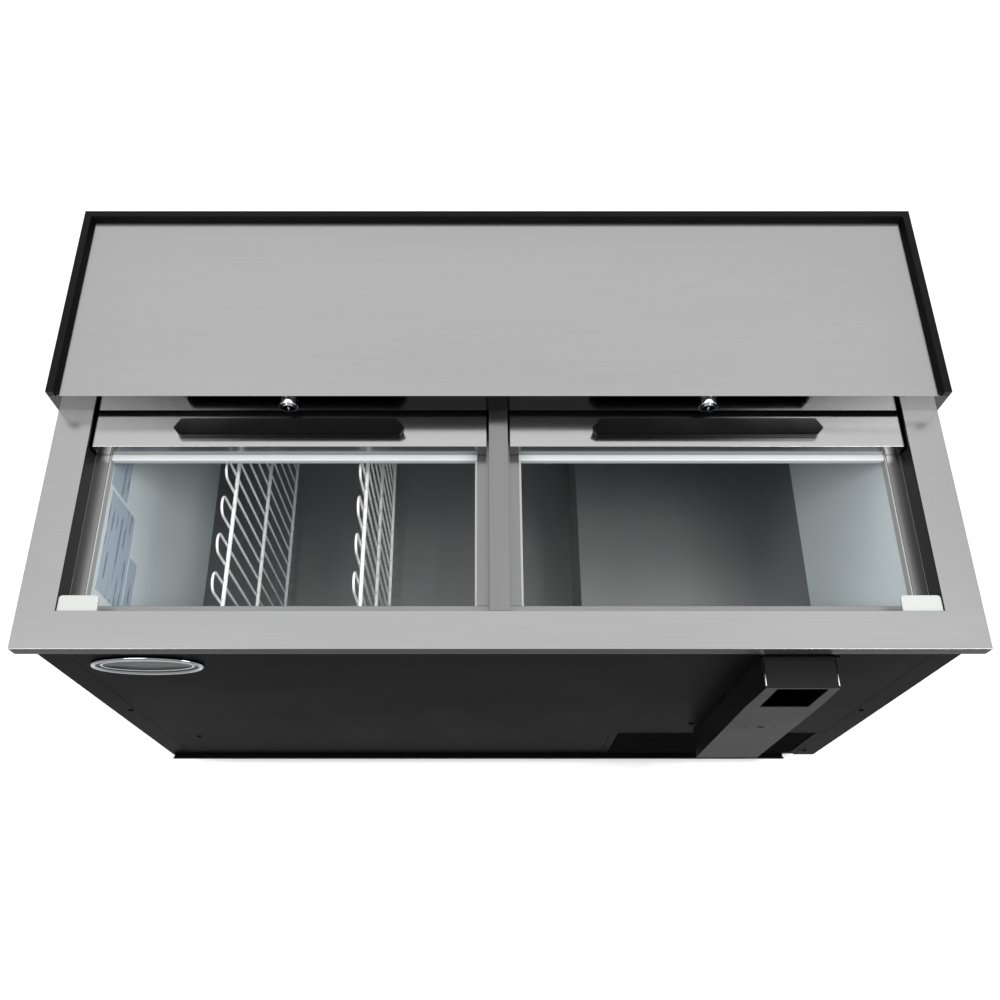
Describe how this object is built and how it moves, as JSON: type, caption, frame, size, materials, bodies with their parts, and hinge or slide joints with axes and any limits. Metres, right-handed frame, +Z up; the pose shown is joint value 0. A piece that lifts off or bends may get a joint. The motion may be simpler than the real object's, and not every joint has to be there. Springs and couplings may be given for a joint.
{
  "type": "horizontal bottle cooler",
  "caption": "Commercial chest bottle cooler: stainless top with two sliding lids under a raised rear deck, deep well with wire dividers, front cap catcher.",
  "frame": {"origin": "on the floor, under the middle of the whole object's box", "axes": "+X to the right seen from the front, +Y to the back, +Z up; the front faces -Y"},
  "size_m": [1.262, 0.712, 0.853],
  "materials": {
    "black_coated_steel": "satin",
    "galvanised_steel": "satin",
    "zinc_plated_steel": "satin",
    "black_screws": "satin",
    "brushed_stainless": "satin",
    "white_plastic": "satin",
    "coated_well_sheet": "satin",
    "dark_well_sheet": "satin",
    "foam": "matte",
    "black_enamel": "gloss",
    "rubber": "matte",
    "aluminium_fins": "satin",
    "copper": "satin",
    "label_film": "satin",
    "badge_metal": "gloss",
    "cast_opener": "satin",
    "chrome": "polished",
    "white_coated_wire": "gloss",
    "black_catcher": "satin",
    "fan_plastic": "satin",
    "black_handle_plastic": "satin"
  },
  "bodies": {
    "cabinet": {"left_side_panel": "black_coated_steel", "right_side_panel": "black_coated_steel", "back_panel": "galvanised_steel", "front_panel": "black_coated_steel", "front_grille": "black_coated_steel", "base_frame": "black_coated_steel", "leg_sockets": "zinc_plated_steel", "panel_screws": "black_screws", "deck_frame": "brushed_stainless", "centre_mullion": "brushed_stainless", "rear_deck": "brushed_stainless", "rear_deck_rim": "black_coated_steel", "bay_breaker_strips": "white_plastic", "rear_cover_panel": "white_plastic", "lid_stop_blocks": "white_plastic", "tank_walls": "coated_well_sheet", "tank_floor": "dark_well_sheet", "machine_step": "dark_well_sheet", "foam_insulation": "foam", "machine_bay_shell": "galvanised_steel", "compressor": "black_enamel", "compressor_mounts": "rubber", "condenser_coil": "aluminium_fins", "condenser_shroud": "galvanised_steel", "condenser_fan_motor": "black_enamel", "refrigerant_lines": "copper", "electrical_box": "galvanised_steel", "evaporator_coil": "aluminium_fins", "evaporator_cover": "coated_well_sheet", "evaporator_fan_motor": "black_enamel", "drain_fitting": "white_plastic", "wall_labels": "label_film", "badge": "badge_metal", "catcher_backplate": "black_coated_steel", "bottle_opener": "cast_opener", "lock_bezels": "chrome", "cord_gland": "rubber"},
    "left_lid": {"left_lid_pan": "brushed_stainless", "left_lid_core": "foam", "left_lid_liner": "white_plastic", "left_lid_handle": "black_handle_plastic", "left_lid_keeper": "zinc_plated_steel"},
    "right_lid": {"right_lid_pan": "brushed_stainless", "right_lid_core": "foam", "right_lid_liner": "white_plastic", "right_lid_handle": "black_handle_plastic", "right_lid_keeper": "zinc_plated_steel"},
    "left_lock": {"left_lock_cam": "chrome"},
    "right_lock": {"right_lock_cam": "chrome"},
    "left_wire_divider": {"left_divider": "white_coated_wire"},
    "right_wire_divider": {"right_divider": "white_coated_wire"},
    "catcher": {"cap_catcher": "black_catcher"},
    "condenser_blades": {"condenser_fan": "fan_plastic"},
    "evaporator_blades": {"evaporator_fan": "fan_plastic"},
    "thermostat": {"thermostat_knob": "fan_plastic"},
    "front_left_foot": {"foot_front_left": "zinc_plated_steel"},
    "front_right_foot": {"foot_front_right": "zinc_plated_steel"},
    "rear_left_foot": {"foot_rear_left": "zinc_plated_steel"},
    "rear_right_foot": {"foot_rear_right": "zinc_plated_steel"}
  },
  "joints": [
    {"name": "left_lid_slide", "type": "slide", "parent": "cabinet", "child": "left_lid", "axis": [0, -1, 0], "range_m": [0, 0.245]},
    {"name": "right_lid_slide", "type": "slide", "parent": "cabinet", "child": "right_lid", "axis": [0, -1, 0], "range_m": [0, 0.245]},
    {"name": "left_lock_turn", "type": "hinge", "parent": "cabinet", "child": "left_lock", "pos_m": [-0.2965, 0.031, 0.825], "axis": [0, 1, 0], "range_deg": [0, 90]},
    {"name": "right_lock_turn", "type": "hinge", "parent": "cabinet", "child": "right_lock", "pos_m": [0.2965, 0.031, 0.825], "axis": [0, 1, 0], "range_deg": [0, 90]},
    {"name": "left_divider_slide", "type": "slide", "parent": "cabinet", "child": "left_wire_divider", "axis": [1, 0, 0], "range_m": [-0.06, 0.06]},
    {"name": "right_divider_slide", "type": "slide", "parent": "cabinet", "child": "right_wire_divider", "axis": [1, 0, 0], "range_m": [-0.06, 0.06]},
    {"name": "catcher_lift_off", "type": "slide", "parent": "cabinet", "child": "catcher", "axis": [0, -1, 0], "range_m": [0, 0.07]},
    {"name": "condenser_fan_spin", "type": "hinge", "parent": "cabinet", "child": "condenser_blades", "pos_m": [0.352, -0.182, 0.192], "axis": [0, 1, 0], "continuous": true},
    {"name": "evaporator_fan_spin", "type": "hinge", "parent": "cabinet", "child": "evaporator_blades", "pos_m": [0.48, 0.22, 0.6], "axis": [0, 1, 0], "continuous": true},
    {"name": "thermostat_turn", "type": "hinge", "parent": "cabinet", "child": "thermostat", "pos_m": [0.55, -0.286, 0.18], "axis": [0, 1, 0], "range_deg": [-135, 135]},
    {"name": "front_left_foot_level", "type": "slide", "parent": "cabinet", "child": "front_left_foot", "axis": [0, 0, -1], "range_m": [0, 0.02]},
    {"name": "front_right_foot_level", "type": "slide", "parent": "cabinet", "child": "front_right_foot", "axis": [0, 0, -1], "range_m": [0, 0.02]},
    {"name": "rear_left_foot_level", "type": "slide", "parent": "cabinet", "child": "rear_left_foot", "axis": [0, 0, -1], "range_m": [0, 0.02]},
    {"name": "rear_right_foot_level", "type": "slide", "parent": "cabinet", "child": "rear_right_foot", "axis": [0, 0, -1], "range_m": [0, 0.02]}
  ]
}
